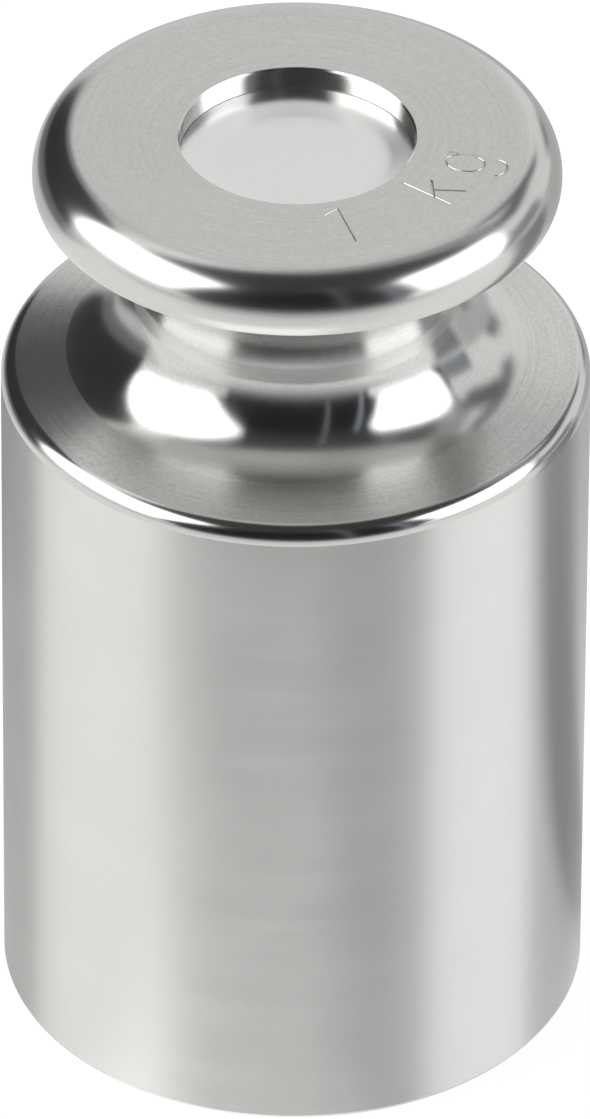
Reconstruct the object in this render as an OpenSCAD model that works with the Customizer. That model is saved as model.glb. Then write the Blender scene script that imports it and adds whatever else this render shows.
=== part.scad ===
// One-kilogram knob weight of stainless steel, turned from the bar in one piece, with an
// adjusting cavity in its axis that a pressed-in aluminium disc seals.
// Millimetres. +Z is up along the axis, and the origin is the centre of the base.

/* [Body] */
// Diameter of the cylindrical body
body_d = 48; // [40:0.5:60]
// Height of the body's straight side, up to the rounded edge
side_h = 58.4; // [35:0.1:75]
// Radius of the rounded edge between the side and the shoulder
shoulder_round = 1.55; // [1:0.05:3]
// Slope of the shoulder in degrees, falling outwards from the neck
shoulder_slope = 14.3; // [2:0.1:20]
// Radius of the small round on the base edge
base_round = 0.4; // [0.2:0.05:1]

/* [Knob] */
// Diameter of the knob over its rounded edge
knob_d = 42.8; // [35:0.1:52]
// Height of the knob's top face above the body's straight side
knob_rise = 23.5; // [19:0.1:29]
// Radius of the upper part of the rounded edge
knob_round_top = 3.8; // [3:0.1:4.6]
// Width of the rounded edge, from the faced top out to the widest place
knob_round_w = 2.8; // [2:0.1:3]
// Radius of the lower part of the rounded edge
knob_round_bottom = 2.8; // [2:0.1:4.2]
// Drop from the knob's widest place to the crisp edge where the hollow starts
knob_edge_drop = 1; // [0.5:0.1:1.8]

/* [Neck] */
// Diameter of the neck at its waist
neck_d = 26.4; // [20:0.1:32]
// Radius of the hollow that runs from the waist down to the shoulder
hollow_bottom = 7.3; // [4:0.1:8.8]

/* [Closing disc and cavity] */
// Diameter of the counterbore in the knob, and of the disc pressed into it
disc_d = 19; // [15:0.1:23]
// Thickness of the closing disc
disc_t = 1.5; // [0.8:0.1:3]
// Depth of the disc's face below the knob's top face
disc_inset = 1.9; // [0.5:0.1:3]
// Width of the broken edge round the counterbore's mouth
mouth_chamfer = 0.15; // [0.05:0.05:0.5]
// Diameter of the adjusting cavity below the disc
cavity_d = 9; // [7:0.1:14.5]
// Depth of the adjusting cavity below the disc's seat
cavity_h = 18.3; // [12:0.1:30]

/* [Adjusting shot] */
// Diameter of one pellet
pellet_d = 2.3; // [1.5:0.1:3]
// Layers of pellets in the cavity
pellet_layers = 3; // [1:1:5]
// Clearance between pellets, and between them and the cavity
pellet_gap = 0.03; // [0.02:0.01:0.2]

/* [Hidden] */
$fn = 180;
pellet_fn = 24;
// A cut runs this far past the face that it opens
cut_past = 1;

body_r = body_d / 2;
knob_r = knob_d / 2;
neck_r = neck_d / 2;
disc_r = disc_d / 2;
cavity_r = cavity_d / 2;
pellet_r = pellet_d / 2;
pellet_pitch = pellet_d + pellet_gap;
top_z = side_h + knob_rise;
seat_z = top_z - disc_inset - disc_t;
cavity_floor_z = seat_z - cavity_h;

// Rounded edge of the shoulder: its centre, and the point where the slope leaves it
shoulder_c = [body_r - shoulder_round, side_h];
slope_n = [sin(shoulder_slope), cos(shoulder_slope)];
shoulder_p = shoulder_c + shoulder_round * slope_n;

// Lower hollow of the neck: it touches the waist and the slope, which sets the waist's height
low_c_r = neck_r + hollow_bottom;
waist_z = shoulder_p.y + (hollow_bottom - slope_n.x * (low_c_r - shoulder_p.x)) / slope_n.y;
low_c = [low_c_r, waist_z];
low_p = low_c - hollow_bottom * slope_n;

// Rounded edge of the knob: both parts are widest at one height, and the lower part ends early,
// at the crisp edge
widest_z = top_z - sqrt(pow(knob_round_top, 2) - pow(knob_round_top - knob_round_w, 2));
edge_top_c = [knob_r - knob_round_top, widest_z];
edge_bottom_c = [knob_r - knob_round_bottom, widest_z];
crisp_z = widest_z - knob_edge_drop;
crisp_r = edge_bottom_c.x + sqrt(pow(knob_round_bottom, 2) - pow(knob_edge_drop, 2));

// Upper hollow of the neck: it touches the waist and ends in the crisp edge
hollow_top = (pow(crisp_r - neck_r, 2) + pow(crisp_z - waist_z, 2)) / (2 * (crisp_r - neck_r));
high_c = [neck_r + hollow_top, waist_z];

// Half section of the body, to the right of the axis: straight lines first, then the convex
// rounds are added and the two hollows of the neck are cut away
module body_section() {
    difference() {
        union() {
            polygon([
                [0, 0],
                [body_r - base_round, 0],
                [body_r, base_round],
                [body_r, side_h],
                shoulder_p,
                low_p,
                low_c,
                [crisp_r, waist_z],
                [crisp_r, crisp_z],
                [knob_r, widest_z],
                [knob_r - knob_round_w, top_z],
                [0, top_z]
            ]);
            translate([body_r - base_round, base_round]) circle(base_round);
            translate(shoulder_c) circle(shoulder_round);
            knob_edge(edge_top_c, knob_round_top, widest_z, top_z);
            knob_edge(edge_bottom_c, knob_round_bottom, crisp_z, widest_z);
        }
        hollow(low_c, hollow_bottom, waist_z - hollow_bottom, waist_z);
        hollow(high_c, hollow_top, waist_z, crisp_z);
    }
}

// Slice of a convex round of the knob's edge, between two heights
module knob_edge(centre, radius, from_z, to_z) {
    intersection() {
        translate(centre) circle(radius);
        translate([0, from_z]) square([knob_r, to_z - from_z]);
    }
}

// Slice of a hollow of the neck, between two heights, as wide as the whole round tool
module hollow(centre, radius, from_z, to_z) {
    intersection() {
        translate(centre) circle(radius);
        translate([neck_r, from_z]) square([2 * radius, to_z - from_z]);
    }
}

module mouth() {
    translate([0, 0, seat_z])
        cylinder(r = disc_r, h = top_z - seat_z + cut_past);
    translate([0, 0, top_z - mouth_chamfer])
        cylinder(r1 = disc_r, r2 = disc_r + mouth_chamfer, h = mouth_chamfer);
}

module body() {
    color("silver")
    difference() {
        rotate_extrude() body_section();
        mouth();
        translate([0, 0, cavity_floor_z])
            cylinder(r = cavity_r, h = cavity_h + cut_past);
    }
}

module closing_disc() {
    color("gainsboro")
    translate([0, 0, seat_z])
        cylinder(r = disc_r, h = disc_t);
}

// One layer of pellets, packed like a honeycomb as far as the cavity's wall
module pellet_layer(shift) {
    reach = cavity_r - pellet_r - pellet_gap;
    rows = ceil(reach / pellet_pitch) + 1;
    for (i = [-rows : rows])
        for (j = [-rows : rows]) {
            spot = pellet_pitch * [i + j / 2, j * sin(60)] + shift;
            if (norm(spot) <= reach)
                translate([spot.x, spot.y, pellet_r]) sphere(pellet_r, $fn = pellet_fn);
        }
}

module adjusting_shot() {
    layer_rise = pellet_pitch * sqrt(2 / 3);
    hollow_shift = pellet_pitch * [1 / 2, tan(30) / 2];
    color("gray")
    for (k = [0 : pellet_layers - 1])
        translate([0, 0, cavity_floor_z + k * layer_rise])
            pellet_layer(k % 2 == 0 ? [0, 0] : hollow_shift);
}

body();
closing_disc();
adjusting_shot();
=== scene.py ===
# %% [markdown]
# # A one-kilogram knob weight
# This is the kind of weight that a laboratory puts on a balance to calibrate it: a bright steel
# cylinder with a lifting knob, turned from one bar. A paler disc lies in the knob and seals a
# small cavity with the pellets that bring the weight to exactly one kilogram.
#
# The lesson starts with the frame. The construction model is already there at its real size, in
# metres, and everything below is built around it without moving it.

# %% Load the frame
import math

import bpy
from mathutils import Matrix, Vector


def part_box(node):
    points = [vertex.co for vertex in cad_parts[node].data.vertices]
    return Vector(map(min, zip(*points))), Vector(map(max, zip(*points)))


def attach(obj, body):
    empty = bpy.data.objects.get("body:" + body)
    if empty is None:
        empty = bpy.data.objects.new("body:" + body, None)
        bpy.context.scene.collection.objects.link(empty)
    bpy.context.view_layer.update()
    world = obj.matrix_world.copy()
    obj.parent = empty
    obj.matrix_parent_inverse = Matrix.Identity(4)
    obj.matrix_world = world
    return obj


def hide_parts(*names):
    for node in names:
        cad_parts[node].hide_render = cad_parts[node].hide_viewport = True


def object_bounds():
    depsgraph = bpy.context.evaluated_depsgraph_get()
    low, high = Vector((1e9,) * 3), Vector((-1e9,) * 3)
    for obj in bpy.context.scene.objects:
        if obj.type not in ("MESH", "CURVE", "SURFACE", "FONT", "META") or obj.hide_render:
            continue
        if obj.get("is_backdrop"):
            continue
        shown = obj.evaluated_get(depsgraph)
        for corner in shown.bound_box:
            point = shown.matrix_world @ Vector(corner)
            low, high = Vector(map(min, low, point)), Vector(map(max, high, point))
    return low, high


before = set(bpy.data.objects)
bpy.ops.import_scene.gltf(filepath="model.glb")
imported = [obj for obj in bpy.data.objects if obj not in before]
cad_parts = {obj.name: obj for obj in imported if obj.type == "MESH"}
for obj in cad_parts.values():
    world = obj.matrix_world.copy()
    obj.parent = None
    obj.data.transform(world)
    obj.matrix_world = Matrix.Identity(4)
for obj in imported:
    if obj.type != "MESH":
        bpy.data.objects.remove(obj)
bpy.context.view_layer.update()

MM = 0.001

# %% [markdown]
# ## The sizes
# A turned part has few sizes. The large ones are read from the frame's own boxes, so they can't
# disagree with it. The rest are the radii that the lathe tool left, in millimetres. The maker
# would read them from the same drawing.

# %% Sizes that the frame gives, in millimetres
body_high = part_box("body")[1]
disc_low, disc_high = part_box("closing_disc")
shot_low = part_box("adjusting_shot")[0]

BODY_R = body_high.x / MM
TOP_Z = body_high.z / MM
DISC_R = disc_high.x / MM
DISC_TOP_Z = disc_high.z / MM
SEAT_Z = disc_low.z / MM
CAVITY_FLOOR_Z = shot_low.z / MM
print("body", round(2 * BODY_R, 2), "x", round(TOP_Z, 2), "mm, disc", round(2 * DISC_R, 2), "mm")

# %% Sizes from the drawing, in millimetres
SIDE_H = 58.4  # the straight side, up to the shoulder's round
BASE_ROUND = 0.4  # radius of the edge that the weight stands on
SHOULDER_ROUND = 1.55  # radius between the side and the shoulder
SHOULDER_SLOPE = math.radians(14.3)  # the shoulder falls outwards by this
NECK_R = 13.2  # at the waist
HOLLOW_BOTTOM = 7.3  # radius of the hollow between the waist and the shoulder
KNOB_R = 21.4  # at the knob's widest place
KNOB_ROUND_TOP = 3.8  # radius of the knob's edge above its widest place
KNOB_ROUND_W = 2.8  # how far that round reaches in before it meets the face
KNOB_ROUND_BOTTOM = 2.8  # radius of the edge below the widest place
KNOB_EDGE_DROP = 1.0  # from the widest place down to the crisp edge over the neck
EASE_ROUND = 3.5  # radius that buffing leaves where the knob's round meets its face
MOUTH_CHAMFER = 0.15  # broken edge round the recess
CAVITY_R = 4.5  # radius of the cavity under the disc
print("neck", 2 * NECK_R, "mm, knob", 2 * KNOB_R, "mm")

# %% [markdown]
# ## The section line
# A lathe makes every surface from one line: the half section, swept once round the axis. The
# line is drawn here in the order in which a finger would follow it, from the centre of the base,
# up the side, over the shoulder, along the neck, round the knob and down into the recess. Each
# stretch carries the name of its finish, because a real weight is not polished all over: its
# side and faces keep the fine marks of the tool, and only the rounds and the neck are buffed.
#
# Straight stretches get a ring close to each end. Smooth shading averages the normals of the
# faces that meet at a ring, and the short face at each end keeps that blend off the long one. A
# Bevel modifier could round the corners instead, but arcs in the line give each one its true
# radius. Buffing also takes a little off the corner where the knob's round meets its face, so
# the line runs through a small blend there instead of the drawing's crisp edge.

# %% Straight and round stretches
HOLD = 0.06  # width of the short face at the end of a straight stretch


def polar(centre, radius, angle):
    return (centre[0] + radius * math.cos(angle), centre[1] + radius * math.sin(angle))


def straight(finish, start, end, rings):
    length = math.dist(start, end)
    shares = [0, HOLD / length] + [k / rings for k in range(1, rings)] + [1 - HOLD / length]
    (r, z), (r_end, z_end) = start, end
    return [(r + (r_end - r) * t, z + (z_end - z) * t, finish) for t in shares]


def rounded(finish, centre, radius, start, end, step=math.radians(2.5)):
    count = max(6, math.ceil(abs(end - start) / step))
    turns = [start + (end - start) * k / count for k in range(count)]
    return [polar(centre, radius, turn) + (finish,) for turn in turns]


print("a quarter round has", len(rounded("buffed_round", (0, 0), 1, 0, math.pi / 2)), "points")

# %% The shoulder and the lower hollow of the neck
slope_normal = (math.sin(SHOULDER_SLOPE), math.cos(SHOULDER_SLOPE))
shoulder_centre = (BODY_R - SHOULDER_ROUND, SIDE_H)
shoulder_end = polar(shoulder_centre, SHOULDER_ROUND, math.pi / 2 - SHOULDER_SLOPE)
low_r = NECK_R + HOLLOW_BOTTOM
inward = slope_normal[0] * (low_r - shoulder_end[0])
waist_z = shoulder_end[1] + (HOLLOW_BOTTOM - inward) / slope_normal[1]
low_centre = (low_r, waist_z)
slope_start = polar(low_centre, HOLLOW_BOTTOM, 1.5 * math.pi - SHOULDER_SLOPE)
print("the waist is at", round(waist_z, 2), "mm")

# %% The knob's edge and the upper hollow
widest_z = TOP_Z - math.sqrt(KNOB_ROUND_TOP ** 2 - (KNOB_ROUND_TOP - KNOB_ROUND_W) ** 2)
top_centre = (KNOB_R - KNOB_ROUND_TOP, widest_z)
bottom_centre = (KNOB_R - KNOB_ROUND_BOTTOM, widest_z)
ease_turn = math.asin((TOP_Z - widest_z - EASE_ROUND) / (KNOB_ROUND_TOP - EASE_ROUND))
ease_centre = polar(top_centre, KNOB_ROUND_TOP - EASE_ROUND, ease_turn)
crisp_turn = math.asin(KNOB_EDGE_DROP / KNOB_ROUND_BOTTOM)
crisp = polar(bottom_centre, KNOB_ROUND_BOTTOM, -crisp_turn)
span = (crisp[0] - NECK_R, crisp[1] - waist_z)
hollow_top = (span[0] ** 2 + span[1] ** 2) / (2 * span[0])
high_centre = (NECK_R + hollow_top, waist_z)
hollow_end = math.atan2(crisp[1] - waist_z, crisp[0] - high_centre[0])
print("the upper hollow has a radius of", round(hollow_top, 2), "mm")

# %% The section of the body
FACE_EDGE_TURN = math.radians(76)  # where buffing stops on the blend and the faced top starts
right_angle = math.pi / 2
base_round_centre = (BODY_R - BASE_ROUND, BASE_ROUND)
body_section = (
    straight("base_face", (0, 0), (BODY_R - BASE_ROUND, 0), 6)
    + rounded("buffed_round", base_round_centre, BASE_ROUND, -right_angle, 0, math.radians(6))
    + straight("turned_side", (BODY_R, BASE_ROUND), (BODY_R, SIDE_H), 12)
    + rounded("buffed_round", shoulder_centre, SHOULDER_ROUND, 0, right_angle - SHOULDER_SLOPE)
    + straight("turned_shoulder", shoulder_end, slope_start, 4)
    + rounded("buffed_neck", low_centre, HOLLOW_BOTTOM, 1.5 * math.pi - SHOULDER_SLOPE, math.pi)
    + rounded("buffed_neck", high_centre, hollow_top, math.pi, hollow_end)
    + rounded("buffed_knob", bottom_centre, KNOB_ROUND_BOTTOM, -crisp_turn, 0)
    + rounded("buffed_knob", top_centre, KNOB_ROUND_TOP, 0, ease_turn)
    + rounded("buffed_knob", ease_centre, EASE_ROUND, ease_turn, FACE_EDGE_TURN)
    + rounded("faced_top", ease_centre, EASE_ROUND, FACE_EDGE_TURN, right_angle)
    + straight("faced_top", (ease_centre[0], TOP_Z), (DISC_R + MOUTH_CHAMFER, TOP_Z), 6)
)
print("the outside has", len(body_section), "points")

# %% The section goes on into the recess and the cavity
mouth_z = TOP_Z - MOUTH_CHAMFER
body_section += (
    straight("buffed_knob", (DISC_R + MOUTH_CHAMFER, TOP_Z), (DISC_R, mouth_z), 1)
    + straight("bored_wall", (DISC_R, mouth_z), (DISC_R, SEAT_Z), 3)
    + straight("bored_wall", (DISC_R, SEAT_Z), (CAVITY_R, SEAT_Z), 2)
    + straight("bored_wall", (CAVITY_R, SEAT_Z), (CAVITY_R, CAVITY_FLOOR_Z), 4)
    + straight("bored_wall", (CAVITY_R, CAVITY_FLOOR_Z), (0, CAVITY_FLOOR_Z), 2)
    + [(0, CAVITY_FLOOR_Z, "bored_wall")]
)
print("the whole section has", len(body_section), "points")

# %% [markdown]
# ## Finishes
# Bare metal has no paint, so its finish is only how it blurs a reflection and how much light it
# returns. Two effects are common to all of it, and each is a node group that is built once.
# `tool_marks` makes the fine rings that a lathe tool leaves. They have to follow the surface, so
# they read the second number of the piece's own UV map, which is the distance along the section
# line, and the direction round the axis from the Object coordinates. `handling` makes what years
# of tweezers and gloves add: a faint haze, a fine grain and a few specks. Painted images could
# hold these effects too, but noise needs no seam and stays fine from close by.

# %% A short way to write node trees
FLOAT, COLOUR, VECTOR = "NodeSocketFloat", "NodeSocketColor", "NodeSocketVector"


def node(tree, kind, values=None, **settings):
    made = tree.nodes.new(kind)
    for name, value in settings.items():
        setattr(made, name, value)
    for key, value in (values or {}).items():
        if isinstance(value, bpy.types.NodeSocket):
            tree.links.new(value, made.inputs[key])
        else:
            made.inputs[key].default_value = value
    return made


def calc(tree, operation, a, b=0.0, c=0.0):
    return node(tree, "ShaderNodeMath", {0: a, 1: b, 2: c}, operation=operation).outputs[0]


def scaled(tree, vector, factor):
    values = {0: vector, "Scale": factor}
    return node(tree, "ShaderNodeVectorMath", values, operation="SCALE").outputs[0]


print("a tree is now written with node, calc and scaled")


# %% A value that changes smoothly between two places, and a new group with named sockets
def band(tree, value, start, end, before, after):
    values = {0: value, 1: start, 2: end, 3: before, 4: after}
    return node(tree, "ShaderNodeMapRange", values, interpolation_type="SMOOTHSTEP").outputs[0]


def new_group(name, kind, inputs, outputs):
    tree = bpy.data.node_groups.new(name, kind)
    for label, socket, value in inputs:
        made = tree.interface.new_socket(label, in_out="INPUT", socket_type=socket)
        if value is not None:
            made.default_value = value
    for label, socket in outputs:
        tree.interface.new_socket(label, in_out="OUTPUT", socket_type=socket)
    given, out = tree.nodes.new("NodeGroupInput"), tree.nodes.new("NodeGroupOutput")
    return tree, given.outputs, out.inputs


print("and with band and new_group")

# %% Tool marks: rings that follow the section line
marks, given, out = new_group(
    "tool_marks", "ShaderNodeTree",
    [("Rings per mm", FLOAT, 8.0), ("Wander", FLOAT, 1.5), ("Broad rings per mm", FLOAT, 0.6)],
    [("Fine", FLOAT), ("Broad", FLOAT)],
)
here = node(marks, "ShaderNodeTexCoord").outputs["Object"]
flat = node(marks, "ShaderNodeVectorMath", {0: here, 1: (1, 1, 0)}, operation="MULTIPLY").outputs[0]
facing = node(marks, "ShaderNodeVectorMath", {0: flat}, operation="NORMALIZE").outputs[0]
facing = scaled(marks, facing, given["Wander"])
along = node(marks, "ShaderNodeUVMap", uv_map="turned").outputs[0]
along = node(marks, "ShaderNodeSeparateXYZ", {0: along}).outputs["Y"]
for label, rate in (("Fine", "Rings per mm"), ("Broad", "Broad rings per mm")):
    row = calc(marks, "MULTIPLY", along, given[rate])
    row = node(marks, "ShaderNodeCombineXYZ", {"Z": row}).outputs[0]
    place = node(marks, "ShaderNodeVectorMath", {0: facing, 1: row}, operation="ADD").outputs[0]
    noise = {"Vector": place, "Scale": 1.0, "Detail": 2.0}
    marks.links.new(node(marks, "ShaderNodeTexNoise", noise).outputs[0], out[label])
print("group", marks.name, "has", len(marks.nodes), "nodes")

# %% Handling: haze, grain and a few specks
SPECK_CELLS = 0.4  # cells per millimetre, each of which may hold one speck
SPECK_SHARE = 0.2  # share of the cells that do
SPECK_CORE, SPECK_RIM = 0.03, 0.06  # in widths of a cell
handling, given, out = new_group(
    "handling", "ShaderNodeTree",
    [("Haze size mm", FLOAT, 7.0), ("Grain size mm", FLOAT, 0.28)],
    [("Haze", FLOAT), ("Grain", FLOAT), ("Specks", FLOAT)],
)
here = node(handling, "ShaderNodeTexCoord").outputs["Object"]
in_mm = scaled(handling, here, 1 / MM)
for label, key, detail in (("Haze", "Haze size mm", 4.0), ("Grain", "Grain size mm", 2.0)):
    noise = {"Vector": in_mm, "Scale": calc(handling, "DIVIDE", 1.0, given[key]), "Detail": detail}
    handling.links.new(node(handling, "ShaderNodeTexNoise", noise).outputs[0], out[label])
cells = node(handling, "ShaderNodeTexVoronoi", {"Vector": in_mm, "Scale": SPECK_CELLS}).outputs
fade = {0: cells["Distance"], 1: SPECK_CORE, 2: SPECK_RIM, 3: 1.0, 4: 0.0}
speck = node(handling, "ShaderNodeMapRange", fade).outputs[0]
chance = node(handling, "ShaderNodeSeparateXYZ", {0: cells["Color"]}).outputs[0]
chosen = calc(handling, "GREATER_THAN", chance, 1 - SPECK_SHARE)
handling.links.new(calc(handling, "MULTIPLY", speck, chosen), out["Specks"])
print("group", handling.name, "has", len(handling.nodes), "nodes")

# %% [markdown]
# ### Turned and polished metal
# Every finish of the steel is the same metal, so they share one colour, and they differ in how
# far they blur a reflection. Tool marks run round the axis, and a surface with such marks blurs
# across them and stays sharp along them. The Principled shader does this with its anisotropy:
# the Tangent node gives the direction round the axis, and a quarter turn puts the wide side of
# the blur across the marks. Real grooves in the mesh would do the same, but they would need
# millions of faces.
#
# One function builds them all. `blur` is the anisotropy, `fine` the number of rings in a
# millimetre. `rings_rough`, `haze_rough` and `speck` change the roughness, `grain` and `tint`
# the colour, each by the share that is given.

# %% One function for all the metal
STEEL = (0.60, 0.595, 0.58)
ALUMINIUM = (0.80, 0.80, 0.79)
PELLET_STEEL = (0.55, 0.55, 0.55)
QUARTER_TURN = 0.25


def vary(tree, value, effect, strength):
    swing = calc(tree, "SUBTRACT", effect, 0.5)
    return calc(tree, "MULTIPLY_ADD", swing, 2 * strength, value)


def metal(name, colour, roughness, blur=0.0, fine=12.0, rings_rough=0.0, haze_rough=0.03,
          grain=0.02, tint=0.02, speck=0.0):
    made = bpy.data.materials.new(name)
    made.use_nodes = True
    tree = made.node_tree
    shader = tree.nodes["Principled BSDF"]
    shader.inputs["Metallic"].default_value = 1.0
    rings = node(tree, "ShaderNodeGroup", {"Rings per mm": fine}, node_tree=marks).outputs
    worn = node(tree, "ShaderNodeGroup", node_tree=handling).outputs
    rough = roughness(tree) if callable(roughness) else roughness
    rough = vary(tree, rough, worn["Haze"], haze_rough)
    rough = vary(tree, rough, rings["Broad"], rings_rough)
    rough = calc(tree, "MULTIPLY_ADD", worn["Specks"], speck, rough)
    tree.links.new(rough, shader.inputs["Roughness"])
    shade = vary(tree, 1.0, worn["Haze"], tint)
    shade = vary(tree, shade, worn["Grain"], grain)
    shade = vary(tree, shade, rings["Fine"], grain)
    tree.links.new(scaled(tree, colour, shade), shader.inputs["Base Color"])
    if blur:
        shader.inputs["Anisotropic"].default_value = blur
        shader.inputs["Anisotropic Rotation"].default_value = QUARTER_TURN
        round_axis = node(tree, "ShaderNodeTangent", direction_type="RADIAL", axis="Z").outputs[0]
        tree.links.new(round_axis, shader.inputs["Tangent"])
    return made


print("steel returns", STEEL, "of the light, aluminium", ALUMINIUM)


# %% The neck: polished, with a hazy ring at the waist that the buffing wheel didn't reach
LOWER_HOLLOW, HAZY_RING, UPPER_HOLLOW, UNDER_KNOB = 0.14, 0.36, 0.17, 0.30  # roughness
RING_LOW, RING_HIGH, KNOB_START = (-1.5, -1.0), (-0.1, 0.5), (2.0, 3.5)  # mm above the waist


def neck_rough(tree):
    here = node(tree, "ShaderNodeTexCoord").outputs["Object"]
    up = calc(tree, "DIVIDE", node(tree, "ShaderNodeSeparateXYZ", {0: here}).outputs["Z"], MM)
    rough = LOWER_HOLLOW
    for (start, full), next_rough in (
        (RING_LOW, HAZY_RING), (RING_HIGH, UPPER_HOLLOW), (KNOB_START, UNDER_KNOB),
    ):
        rough = band(tree, up, waist_z + start, waist_z + full, rough, next_rough)
    return rough


ring = (waist_z + RING_LOW[0], waist_z + RING_HIGH[1])
print("the hazy ring lies between", [round(z, 1) for z in ring], "mm")

# %% The finishes, one for each kind of stretch in the sections
finishes = {
    "base_face": metal("base_face", STEEL, 0.30, blur=0.4),
    "turned_side": metal("turned_side", STEEL, 0.39, blur=1.0, fine=14.0, rings_rough=0.02),
    "buffed_round": metal("buffed_round", STEEL, 0.15, blur=0.5, haze_rough=0.02, speck=0.2),
    "turned_shoulder": metal("turned_shoulder", STEEL, 0.22, blur=0.7, fine=14.0, grain=0.2),
    "buffed_neck": metal("buffed_neck", STEEL, neck_rough, blur=0.9, haze_rough=0.06, grain=0.1,
                         tint=0.05),
    "buffed_knob": metal("buffed_knob", STEEL, 0.19, blur=0.5, grain=0.05, speck=0.3),
    "faced_top": metal("faced_top", STEEL, 0.25, blur=0.4, fine=14.0, grain=0.09),
    "bored_wall": metal("bored_wall", STEEL, 0.19, blur=0.6, fine=14.0),
    "satin_disc": metal("satin_disc", ALUMINIUM, 0.22, haze_rough=0.02, grain=0.01, tint=0.01),
}
FINISH_NUMBERS = {name: number for number, name in enumerate(finishes)}
print(len(finishes), "finishes")

# %% [markdown]
# ## The lathe
# A turned part follows a rule, so Geometry Nodes make it. The object starts as the bare section
# line. The tree lays out a grid with one row for each point of the line and one column for each
# step round the axis, and moves every grid point to its place: the radius and the height come
# from the line, the direction from the column. Spin or a Screw modifier would make the same
# shape. This way also gives every face the finish of its stretch of the line and a UV map whose
# second number is the distance along the line in millimetres, which the tool marks follow.

# %% The lathe: a grid with a row for each point of the line
STEPS_ROUND = 240
lathe, given, out = new_group(
    "lathe", "GeometryNodeTree",
    [("Section line", "NodeSocketGeometry", None),
     ("Steps round the axis", "NodeSocketInt", STEPS_ROUND)],
    [("Turned solid", "NodeSocketGeometry")],
)
line, steps = given["Section line"], given["Steps round the axis"]
rows = node(lathe, "GeometryNodeAttributeDomainSize", {0: line}).outputs["Point Count"]
columns = calc(lathe, "ADD", steps, 1.0)
grid = node(lathe, "GeometryNodeMeshGrid", {"Vertices X": rows, "Vertices Y": columns})
index = node(lathe, "GeometryNodeInputIndex").outputs[0]


def row_of(index, in_a_row):
    # Points and faces are both numbered row by row. The half keeps the division clear of whole
    # numbers, where a rounding error could drop a row.
    middle = calc(lathe, "ADD", index, 0.5)
    return calc(lathe, "FLOOR", calc(lathe, "DIVIDE", middle, in_a_row))


row = row_of(index, columns)
column = calc(lathe, "SUBTRACT", index, calc(lathe, "MULTIPLY", row, columns))
turn = calc(lathe, "DIVIDE", column, steps)
print("each point of a line becomes a row of", STEPS_ROUND + 1, "grid points")


# %% The lathe: where each grid point goes
def read(kind, name, at):
    noted = node(lathe, "GeometryNodeInputNamedAttribute", {"Name": name}, data_type=kind)
    values = {"Geometry": line, "Value": noted.outputs["Attribute"], "Index": at}
    return node(lathe, "GeometryNodeSampleIndex", values, data_type=kind).outputs[0]


radius = read("FLOAT", "radius", row)
angle = calc(lathe, "MULTIPLY", turn, 2 * math.pi)
place = node(lathe, "ShaderNodeCombineXYZ", {
    "X": calc(lathe, "MULTIPLY", radius, calc(lathe, "COSINE", angle)),
    "Y": calc(lathe, "MULTIPLY", radius, calc(lathe, "SINE", angle)),
    "Z": read("FLOAT", "height", row),
}).outputs[0]
turned_map = node(lathe, "ShaderNodeCombineXYZ", {"X": turn, "Y": read("FLOAT", "run", row)})
print("the tree reads radius, height and run from the line")

# %% The lathe: note place, map and finish while the grid is still flat
points = node(lathe, "GeometryNodeCaptureAttribute", {"Geometry": grid.outputs["Mesh"]},
              domain="POINT")
points.capture_items.new("VECTOR", "place")
points.capture_items.new("VECTOR", "map")
lathe.links.new(place, points.inputs["place"])
lathe.links.new(turned_map.outputs[0], points.inputs["map"])
faces = node(lathe, "GeometryNodeCaptureAttribute", {"Geometry": points.outputs["Geometry"]},
             domain="FACE")
faces.capture_items.new("INT", "finish")
lathe.links.new(read("INT", "finish", row_of(index, steps)), faces.inputs["finish"])
mapped = node(lathe, "GeometryNodeStoreNamedAttribute", {
    "Geometry": faces.outputs["Geometry"], "Name": "turned", "Value": points.outputs["map"],
}, data_type="FLOAT2", domain="CORNER").outputs[0]
print("the UV map is called turned")

# %% The lathe: bend the grid, close its seam and poles, and give each face its finish
SEAM_GAP = 1e-7  # metres, and points closer than this become one
solid = node(lathe, "GeometryNodeSetPosition", {0: mapped, "Position": points.outputs["place"]})
solid = node(lathe, "GeometryNodeMergeByDistance", {0: solid.outputs[0], "Distance": SEAM_GAP})
solid = node(lathe, "GeometryNodeFlipFaces", {0: solid.outputs[0]})
solid = node(lathe, "GeometryNodeSetShadeSmooth", {0: solid.outputs[0]})
solid = node(lathe, "GeometryNodeRealizeInstances", {0: solid.outputs[0]})
for name, number in FINISH_NUMBERS.items():
    same = node(lathe, "FunctionNodeCompare", data_type="INT", operation="EQUAL")
    lathe.links.new(faces.outputs["finish"], same.inputs[2])
    same.inputs[3].default_value = number
    chosen = {0: solid.outputs[0], "Selection": same.outputs[0], "Material": finishes[name]}
    solid = node(lathe, "GeometryNodeSetMaterial", chosen)
lathe.links.new(solid.outputs[0], out["Turned solid"])
print("the lathe tree has", len(lathe.nodes), "nodes")


# %% From a live modifier to a plain mesh
def set_inputs(modifier, values):
    for item in modifier.node_group.interface.items_tree:
        if item.item_type == "SOCKET" and item.in_out == "INPUT" and item.name in values:
            modifier[item.identifier] = values[item.name]


def plain_mesh(piece):
    evaluated = piece.evaluated_get(bpy.context.evaluated_depsgraph_get())
    done = bpy.data.meshes.new_from_object(evaluated)
    piece.modifiers.clear()
    piece.data = done


def drop_unused_slots(piece):
    used = sorted({face.material_index for face in piece.data.polygons})
    numbers = {old: new for new, old in enumerate(used)}
    kept = [piece.data.materials[k] for k in used]
    places = [numbers[face.material_index] for face in piece.data.polygons]
    piece.data.materials.clear()
    for finish in kept:
        piece.data.materials.append(finish)
    piece.data.polygons.foreach_set("material_index", places)


print("set_inputs, plain_mesh and drop_unused_slots are ready")


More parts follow.
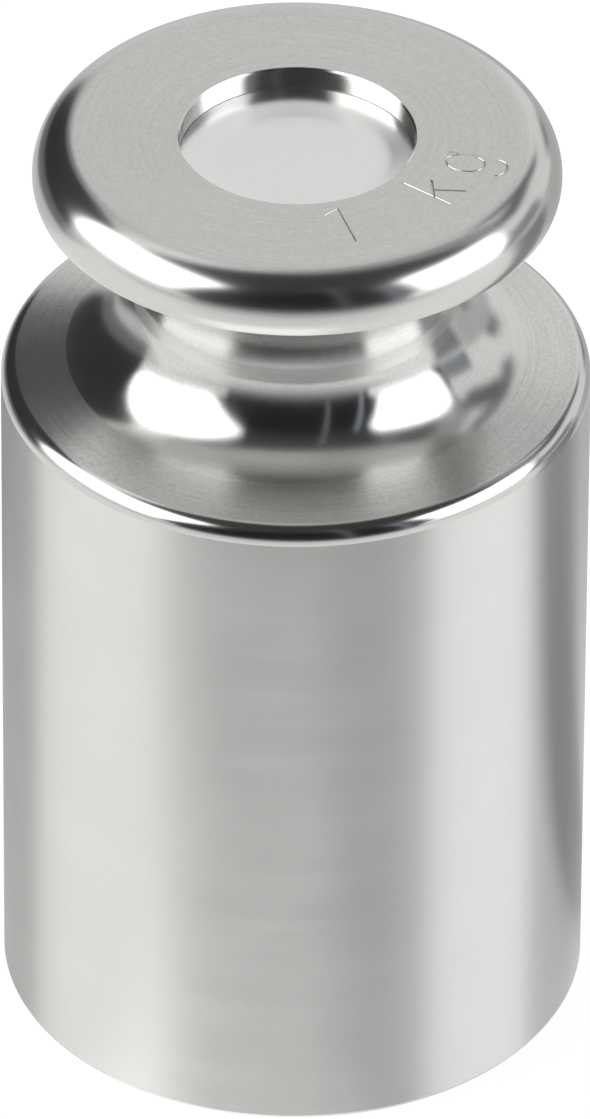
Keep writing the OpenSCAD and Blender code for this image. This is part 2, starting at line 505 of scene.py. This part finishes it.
# %% Draw a section line, with what the lathe reads from it
def section_mesh(name, section):
    line = bpy.data.meshes.new(name)
    spots = [(r * MM, 0, z * MM) for r, z, _ in section]
    line.from_pydata(spots, [(k, k + 1) for k in range(len(section) - 1)], [])
    run = [0.0]
    for (r0, z0, _), (r1, z1, _) in zip(section, section[1:]):
        run.append(run[-1] + math.dist((r0, z0), (r1, z1)))
    for label, kind, values in (
        ("radius", "FLOAT", [r * MM for r, _, _ in section]),
        ("height", "FLOAT", [z * MM for _, z, _ in section]),
        ("run", "FLOAT", run),
        ("finish", "INT", [FINISH_NUMBERS[finish] for _, _, finish in section]),
    ):
        line.attributes.new(label, kind, "POINT").data.foreach_set("value", values)
    print(name, "has a line of", round(run[-1], 1), "mm")
    return line


# %% Turn a section into a piece
CRISP = math.radians(9)  # an edge that turns by more than this stays crisp


def turn_piece(name, section):
    piece = bpy.data.objects.new(name, section_mesh(name, section))
    bpy.context.scene.collection.objects.link(piece)
    turning = piece.modifiers.new("turning", "NODES")
    turning.node_group = lathe
    set_inputs(turning, {"Steps round the axis": STEPS_ROUND})
    plain_mesh(piece)
    drop_unused_slots(piece)
    piece.data.set_sharp_from_angle(angle=CRISP)
    print(name, "has", len(piece.data.polygons), "faces")
    return piece


weight = turn_piece("weight_body", body_section)
print("its finishes are", [finish.name for finish in weight.data.materials])

# %% [markdown]
# ## The engraved value
# A weight carries its nominal value, cut into the knob's face with a graver, and nothing more is
# needed here than plain single-line figures: 1 kg. A stroke font or a bump texture could draw
# them, but a graver leaves a real groove with bright flanks. So each stroke is a curve, Curve to
# Mesh gives it a round section of the graver's size, and a boolean takes it out of the face.

# %% The strokes, in millimetres
FOOT_R = 15.5  # the letters' feet stand on a circle of this radius


def arc(centre, reach, start, end, count=20):
    turns = [math.radians(start + (end - start) * k / count) for k in range(count + 1)]
    return [(centre[0] + reach[0] * math.cos(turn), centre[1] + reach[1] * math.sin(turn))
            for turn in turns]


FIGURE_ONE = [[(-1.25, 4.15), (0, 4.8), (0, 0)]]
LETTER_K = [[(0, 4.8), (0, 0)], [(1.7, 3.2), (0, 1.6)], [(0.7, 2.26), (2.2, 0.1)]]
LETTER_G = [arc((0, 1.5), (1.15, 1.6), 0, 360),
            [(1.15, 3.1), (1.15, -0.9)] + arc((0, -0.9), (1.15, 1.05), -10, -160)]
VALUE = [(17.8, FIGURE_ONE), (52.3, LETTER_K), (74.5, LETTER_G)]  # degrees round from the front
print("the value is written in", sum(len(lines) for _, lines in VALUE), "strokes")

# %% Lay the strokes on the knob's face
stroke_lines = bpy.data.curves.new("strokes", "CURVE")
stroke_lines.dimensions = "3D"
for degrees, lines in VALUE:
    angle = math.radians(degrees)
    outward = Vector((math.sin(angle), -math.cos(angle), 0))
    across = Vector((math.cos(angle), math.sin(angle), 0))
    for points in lines:
        spline = stroke_lines.splines.new("POLY")
        spline.points.add(len(points) - 1)
        for point, (x, y) in zip(spline.points, points):
            spot = (outward * (FOOT_R - y) + across * x) * MM
            point.co = (spot.x, spot.y, TOP_Z * MM, 1)
strokes = bpy.data.objects.new("strokes", stroke_lines)
bpy.context.scene.collection.objects.link(strokes)
print(len(strokes.data.splines), "strokes laid on the face")

# %% The graver: a round point that cuts a groove of a given width and depth
graver_cut = metal("graver_cut", STEEL, 0.34)
graver, given, out = new_group(
    "graver", "GeometryNodeTree",
    [("Solid", "NodeSocketGeometry", None), ("Strokes", "NodeSocketObject", None),
     ("Groove width", FLOAT, 0.22 * MM), ("Groove depth", FLOAT, 0.08 * MM)],
    [("Engraved", "NodeSocketGeometry")],
)
depth = given["Groove depth"]
half = calc(graver, "DIVIDE", given["Groove width"], 2.0)
squares = calc(graver, "ADD", calc(graver, "MULTIPLY", half, half),
               calc(graver, "MULTIPLY", depth, depth))
point_r = calc(graver, "DIVIDE", squares, calc(graver, "MULTIPLY", depth, 2.0))
lift = node(graver, "ShaderNodeCombineXYZ", {"Z": calc(graver, "SUBTRACT", point_r, depth)})
print("the groove's width and depth give the radius of the graver's point")

# %% The graver: tubes along the strokes, taken out of the solid
lines = node(graver, "GeometryNodeObjectInfo", {"Object": given["Strokes"]}).outputs["Geometry"]
ring = node(graver, "GeometryNodeCurvePrimitiveCircle", {"Resolution": 12, "Radius": point_r})
cut = node(graver, "GeometryNodeCurveToMesh", {
    "Curve": lines, "Profile Curve": ring.outputs["Curve"], "Fill Caps": True})
cut = node(graver, "GeometryNodeSetPosition", {0: cut.outputs[0], "Offset": lift.outputs[0]})
cut = node(graver, "GeometryNodeSetMaterial", {0: cut.outputs[0], "Material": graver_cut})
cut = node(graver, "GeometryNodeMeshBoolean",
           {"Mesh 2": cut.outputs[0], "Self Intersection": True},
           operation="UNION", solver="EXACT")
cut = node(graver, "GeometryNodeMeshBoolean", {"Mesh 1": given["Solid"], "Mesh 2": cut.outputs[0]},
           operation="DIFFERENCE", solver="EXACT")
cut = node(graver, "GeometryNodeRealizeInstances", {0: cut.outputs[0]})
graver.links.new(cut.outputs[0], out["Engraved"])
print("the graver tree has", len(graver.nodes), "nodes")

# %% Cut the value
graving = weight.modifiers.new("graving", "NODES")
graving.node_group = graver
set_inputs(graving, {"Strokes": strokes})
plain_mesh(weight)
drop_unused_slots(weight)
weight.data.set_sharp_from_angle(angle=CRISP)
bpy.data.objects.remove(strokes)
print("engraved, the body has", len(weight.data.polygons), "faces")

# %% Stand for the construction's body
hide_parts("body")
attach(weight, "root")
print(weight.name, "stands for the body")

# %% [markdown]
# ## The closing disc
# The disc is a slug of aluminium, pressed into the counterbore until it rests on its seat. The
# pressing leaves it slightly dished: it falls away from a small round at its rim and flattens
# towards the middle. The dish matters, because a flat mirror would show the whole wall of the
# bore in the disc, and a sloping rim squeezes that reflection into a narrow band. A bump texture
# could tilt the light too, but the dish is a visible shape, so it is in the mesh. The disc is
# turned on the same lathe from its own section, a hair narrower than the bore, so that no two
# faces coincide.

# %% The section of the closing disc, in millimetres
RIM_ROUND = 0.08
FIT = 0.01
DISH_SLOPE = math.radians(8)
SLOPE_W = 1.7  # width of the slope inside the rim
DISH_ROUND = 10.8  # radius in which the slope runs out into the flat middle
rim_r = DISC_R - FIT
rim_z = DISC_TOP_Z - RIM_ROUND
rim_centre = (rim_r - RIM_ROUND, rim_z)
slope_top = polar(rim_centre, RIM_ROUND, right_angle + DISH_SLOPE)
slope_foot = (slope_top[0] - SLOPE_W, slope_top[1] - SLOPE_W * math.tan(DISH_SLOPE))
dish_centre = polar(slope_foot, DISH_ROUND, right_angle + DISH_SLOPE)
dish_z = dish_centre[1] - DISH_ROUND
dish_turn = DISH_SLOPE - right_angle
disc_section = (
    straight("satin_disc", (0, SEAT_Z), (rim_r, SEAT_Z), 4)
    + straight("satin_disc", (rim_r, SEAT_Z), (rim_r, rim_z), 1)
    + rounded("satin_disc", rim_centre, RIM_ROUND, 0, right_angle + DISH_SLOPE, math.radians(9))
    + straight("satin_disc", slope_top, slope_foot, 1)
    + rounded("satin_disc", dish_centre, DISH_ROUND, dish_turn, -right_angle, math.radians(1))
    + straight("satin_disc", (dish_centre[0], dish_z), (0, dish_z), 5)
    + [(0, dish_z, "satin_disc")]
)
print("the dish is", round(DISC_TOP_Z - dish_z, 2), "mm deep")

# %% Turn the disc
disc = turn_piece("seal_disc", disc_section)
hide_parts("closing_disc")
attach(disc, "root")
print(disc.name, "stands for the closing disc")

# %% [markdown]
# ## The pellets
# Loose steel pellets under the disc bring the weight to exactly one kilogram, and the disc seals
# them in. They are plain balls that nobody sees, so there is nothing to add to their shape. They
# could be built again as instances of one ball, but the construction's own pellets are right as
# they are. They stay in place and only get their metal.

# %% Give the pellets their metal
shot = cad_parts["adjusting_shot"]
shot.data.materials.clear()
shot.data.materials.append(metal("pellet_steel", PELLET_STEEL, 0.2))
print("the pellets have", len(shot.data.polygons), "faces")

# %% [markdown]
# ## The studio
# Polished metal shows nothing but its surroundings, so the studio is half of its look. Lamps
# and white boards could be built as objects round the weight. Here they are panels painted on the
# world instead: soft-edged rectangles, given by the direction in which they stand and by their
# width and height, all as angles. A panel is then one line of a table, and it lights the weight
# and is mirrored in it at once. Azimuth 0 is the camera's side (-Y) and grows to the right.
#
# One node group paints one panel. It turns the view direction until the panel stands straight
# ahead, divides sideways and upwards by ahead, and measures how far outside a rectangle with
# round corners the point lies.

# %% Lay one colour over another
def mix_colours(tree, share, behind, front):
    # A Mix node has one set of sockets for each kind of data. Its colours go in at 6 and 7 and
    # come out at 2.
    values = {0: share, 6: behind, 7: front}
    return node(tree, "ShaderNodeMix", values, data_type="RGBA").outputs[2]


print("mix_colours is ready")

# %% A panel of the studio as a node group
NEVER_ZERO = 0.001  # puts a panel behind the view far outside, and nothing divides by zero
panel_group, given, out = new_group(
    "studio_panel", "ShaderNodeTree",
    [("Direction", VECTOR, None), ("Turn", VECTOR, None), ("Behind", COLOUR, None),
     ("Panel", COLOUR, None), ("Half width", FLOAT, 1.0), ("Half height", FLOAT, 1.0),
     ("Corner", FLOAT, 0.1), ("Soft", FLOAT, 0.1)],
    [("Colour", COLOUR)],
)
straight_ahead = node(panel_group, "ShaderNodeMapping", {
    "Vector": given["Direction"], "Rotation": given["Turn"]}, vector_type="TEXTURE").outputs[0]
local = node(panel_group, "ShaderNodeSeparateXYZ", {0: straight_ahead}).outputs
ahead = calc(panel_group, "MULTIPLY", local["Y"], -1.0)
ahead = calc(panel_group, "MAXIMUM", ahead, NEVER_ZERO)
beyond = []
for axis, half in (("X", "Half width"), ("Z", "Half height")):
    offset = calc(panel_group, "ABSOLUTE", calc(panel_group, "DIVIDE", local[axis], ahead))
    reach = calc(panel_group, "SUBTRACT", given[half], given["Corner"])
    offset = calc(panel_group, "SUBTRACT", offset, reach)
    beyond.append(calc(panel_group, "MAXIMUM", offset, 0.0))
outside = node(panel_group, "ShaderNodeCombineXYZ", {"X": beyond[0], "Y": beyond[1]}).outputs[0]
outside = node(panel_group, "ShaderNodeVectorMath", {0: outside}, operation="LENGTH")
outside = calc(panel_group, "SUBTRACT", outside.outputs["Value"], given["Corner"])
inner_edge = calc(panel_group, "MULTIPLY", given["Soft"], -1.0)
lit = band(panel_group, outside, inner_edge, given["Soft"], 1.0, 0.0)
panel_group.links.new(mix_colours(panel_group, lit, given["Behind"], given["Panel"]), out["Colour"])
print("group", panel_group.name, "has", len(panel_group.nodes), "nodes")

# %% The panels, from the farthest to the nearest
STUDIO = [
    # name, colour, azimuth, elevation, roll, half width, half height, corner, soft, in degrees
    ("ceiling", (0.40, 0.40, 0.40), 180, 40, 0, 66, 38, 34, 12),
    ("ceiling_left", (1.10, 1.10, 1.10), -122, 60, 0, 30, 13, 12, 8),
    ("ceiling_front", (0.060, 0.058, 0.060), 0, 76, 0, 50, 26, 14, 10),
    ("wall_back", (0.85, 0.85, 0.85), 180, 21, 0, 46, 40, 20, 5),
    ("wall_right", (0.95, 0.95, 0.95), 135, 4, 0, 32, 38, 30, 3),
    ("gap_side", (0.30, 0.33, 0.36), 110, -4, 0, 12, 20, 4, 3),
    ("gap_right", (0.14, 0.14, 0.15), 130, 37, 0, 12, 6, 5, 4),
    ("gap_back", (0.16, 0.16, 0.17), 146, 38, 0, 4, 13, 3, 3),
    ("fold_right", (0.25, 0.25, 0.25), 149, -6, 0, 6, 16, 5, 4),
    ("table_front", (0.24, 0.24, 0.24), 0, -8, 0, 52, 13, 5, 8),
    ("table_left", (0.95, 0.95, 0.95), -76, -2, 0, 33, 13, 5, 4),
    ("table_right", (1.30, 1.30, 1.30), 69, -2, 0, 23, 13, 5, 3),
    ("softbox_left", (3.0, 3.0, 3.0), -79, 35, 0, 29, 24, 9, 5),
    ("softbox_right", (3.0, 3.0, 3.08), 72, 27, 8, 22, 22, 9, 4),
    ("dark_left", (0.045, 0.045, 0.045), -133, -1, -15, 27, 51, 9, 3),
    ("streak_right", (0.30, 0.33, 0.38), 41, 22, 0, 1.5, 26, 1, 1),
    ("streak_front", (0.17, 0.17, 0.18), 20, 35, 0, 1.5, 28, 1, 1),
]
DARK_ROOM = (0.022, 0.020, 0.023, 1)
WHITE = (1, 1, 1, 1)
print(len(STUDIO), "panels")

# %% Hang the panels round the weight
world = bpy.data.worlds.new("studio")
bpy.context.scene.world = world
world.cycles.sampling_method = "NONE"  # the metal's own reflections find the panels
world.use_nodes = True
tree = world.node_tree
direction = node(tree, "ShaderNodeTexCoord").outputs["Generated"]
seen = DARK_ROOM
for name, colour, azimuth, elevation, roll, *angles in STUDIO:
    wide, high, corner, soft = [math.tan(math.radians(angle)) for angle in angles]
    turn = (-math.radians(elevation), math.radians(roll), math.radians(azimuth))
    seen = node(tree, "ShaderNodeGroup", {
        "Direction": direction, "Turn": turn, "Behind": seen, "Panel": (*colour, 1),
        "Half width": wide, "Half height": high, "Corner": corner, "Soft": soft,
    }, node_tree=panel_group, label=name).outputs[0]
print("the world has", len(tree.nodes), "nodes")

# %% Plain white where the camera looks past the weight
is_camera = node(tree, "ShaderNodeLightPath").outputs["Is Camera Ray"]
tree.links.new(mix_colours(tree, is_camera, seen, WHITE), tree.nodes["Background"].inputs["Color"])
print("the backdrop is white, and the light on the weight doesn't come from it")

# %% [markdown]
# ## The floor
# The weight stands on a large sheet of white paper. A white diffuse floor would throw too much
# light up at the weight's side, so the paper is grey to the light and glows by itself: to the
# camera almost up to white, which leaves room for the weight's own shadow, and to the metal that
# mirrors it with a tone of its own, in which light and shade are painted. That tone is what the
# side of the cylinder shows from top to bottom, so it isn't the same all over. It is painted
# darker towards the front and behind. Painted shade darkens a few sectors round the weight, where
# real lamps would shade them, with a direction and a distance each. Among them is a painted
# shadow of the weight beside it on the right, and a painted patch of light brightens the paper at
# the weight's foot.

# %% Lay the sheet
FLOOR_HALF = 40.0
FLOOR_Z = -0.02 * MM  # a hair below the base, so that the two faces don't coincide
quarters = ((-1, -1), (1, -1), (1, 1), (-1, 1))
corners = [(x * FLOOR_HALF, y * FLOOR_HALF, FLOOR_Z) for x, y in quarters]
floor_mesh = bpy.data.meshes.new("studio_floor")
floor_mesh.from_pydata(corners, [], [(0, 1, 2, 3)])
floor = bpy.data.objects.new("studio_floor", floor_mesh)
bpy.context.scene.collection.objects.link(floor)
print("the sheet is", 2 * FLOOR_HALF, "m wide")

# %% Where on the floor a point lies: how far to the front, in which direction and how far away
paper = bpy.data.materials.new("white_paper")
paper.use_nodes = True
tree = paper.node_tree
spot = node(tree, "ShaderNodeTexCoord").outputs["Object"]
spot = node(tree, "ShaderNodeSeparateXYZ", {0: spot}).outputs
front = calc(tree, "MULTIPLY", spot["Y"], -1.0)
bearing = calc(tree, "MULTIPLY", calc(tree, "ARCTAN2", spot["X"], front), math.degrees(1))
away = calc(tree, "ADD", calc(tree, "MULTIPLY", spot["X"], spot["X"]),
            calc(tree, "MULTIPLY", front, front))
away = calc(tree, "SQRT", away)
print("bearing 0 is the front, as in the studio")

# %% The painted light and shade that the metal mirrors in the paper
PAINTED_SHADE_AND_LIGHT = [
    # name, bearing from and to, softness, in degrees, where it starts, is full, ends and is gone,
    # in metres, and the change of the painted tone: below zero painted shade, above zero painted
    # light
    ("behind_left", -160, -106, 5, 0.24, 0.34, 90, 99, -0.94),
    ("behind_right", 126, 174, 6, 0.07, 0.11, 90, 99, -0.30),
    # painted shadow of the weight, cast to the right as the left softbox would cast it
    ("painted_shadow_beside_right", 97, 122, 5, 0.02, 0.04, 0.5, 0.9, -0.80),
    ("in_front", -42, 38, 10, 0.11, 0.14, 90, 99, -0.13),
    # painted light on the paper at the weight's foot, in front and to the left
    ("painted_light_at_the_foot", -42, 12, 12, 0.01, 0.02, 0.095, 0.108, 0.45),
]
# painted falloff of the paper's light, darker towards the front and behind
painted_tone = band(tree, front, 0.12, 0.85, 0.90, 0.38)
painted_tone = band(tree, front, -0.04, -0.10, painted_tone, 0.55)
for name, low, high, soft, start, full, end, gone, change in PAINTED_SHADE_AND_LIGHT:
    share = calc(tree, "MULTIPLY", band(tree, bearing, low - soft, low + soft, 0.0, 1.0),
                 band(tree, bearing, high - soft, high + soft, 1.0, 0.0))
    share = calc(tree, "MULTIPLY", share, band(tree, away, start, full, 0.0, 1.0))
    share = calc(tree, "MULTIPLY", share, band(tree, away, end, gone, 1.0, 0.0))
    painted_tone = calc(tree, "MULTIPLY", painted_tone, calc(tree, "MULTIPLY_ADD", share, change, 1.0))
print(len(PAINTED_SHADE_AND_LIGHT), "shades on the floor")

# %% The paper's own material
GLOW_TO_CAMERA = 0.88
shader = tree.nodes["Principled BSDF"]
shader.inputs["Base Color"].default_value = (0.2, 0.2, 0.2, 1)
shader.inputs["Roughness"].default_value = 0.9
shader.inputs["Specular IOR Level"].default_value = 0.0
shader.inputs["Emission Color"].default_value = WHITE
ray = node(tree, "ShaderNodeLightPath").outputs
# to mirrored rays the paper glows with the painted light and shade above
mirrored = calc(tree, "MAXIMUM", ray["Is Glossy Ray"], ray["Is Transmission Ray"])
mirrored = calc(tree, "MULTIPLY", mirrored, painted_tone)
shown = calc(tree, "MULTIPLY_ADD", ray["Is Camera Ray"], GLOW_TO_CAMERA, mirrored)
tree.links.new(shown, shader.inputs["Emission Strength"])
paper.cycles.emission_sampling = "NONE"
floor_mesh.materials.append(paper)
floor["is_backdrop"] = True
print(paper.name, "has", len(tree.nodes), "nodes")

# %% [markdown]
# ## The camera
# A tall bright thing is best seen from well back through a long lens, which keeps the cylinder's
# sides almost parallel, and from high enough to look into the recess. The camera stands in front
# of the weight, looks down by 36.3 degrees and is rolled by a third of a degree. It could be aimed
# with a Track To constraint, but a matrix built from three directions puts it exactly where the
# numbers say, and sliding it sideways and up centres the weight without a lens shift.

# %% The camera's place and lens
CAMERA_ELEVATION = math.radians(36.3)
CAMERA_ROLL = math.radians(0.37)
CAMERA_DISTANCE = 1.4075
LENS_IN_PIXELS = 17170
PICTURE_HEIGHT = 1119
AIM = Vector((0, 0, 0.04))
SLIDE_LEFT, SLIDE_DOWN = -0.00002, 0.00039
camera = bpy.data.objects.new("camera", bpy.data.cameras.new("camera"))
bpy.context.scene.collection.objects.link(camera)
camera.data.sensor_fit = "VERTICAL"
camera.data.sensor_height = 36
camera.data.lens = LENS_IN_PIXELS / PICTURE_HEIGHT * camera.data.sensor_height
camera.data.clip_end = 100
print("the lens is", round(camera.data.lens), "mm long")

# %% Stand it up
back = Vector((0, -math.cos(CAMERA_ELEVATION), math.sin(CAMERA_ELEVATION)))
right = Vector((1, 0, 0))
up = Vector((0, math.sin(CAMERA_ELEVATION), math.cos(CAMERA_ELEVATION)))
across = right * math.cos(CAMERA_ROLL) + up * math.sin(CAMERA_ROLL)
upward = up * math.cos(CAMERA_ROLL) - right * math.sin(CAMERA_ROLL)
place = AIM + back * CAMERA_DISTANCE - across * SLIDE_LEFT - upward * SLIDE_DOWN
turned = Matrix((across, upward, back)).transposed().to_4x4()
camera.matrix_world = Matrix.Translation(place) @ turned
bpy.context.scene.camera = camera
bpy.context.scene.view_settings.view_transform = "Standard"
print("the camera stands at", [round(x, 3) for x in place], "m")

# %% [markdown]
# ## Measure and finish
# The visual model has to fill the same space as the construction that it stands for, or it would
# not fit where the part fits. Its box is printed, in millimetres.

# %% Measure the visual model
low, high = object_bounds()
print("the visual model measures", [round(side / MM, 2) for side in high - low], "mm")
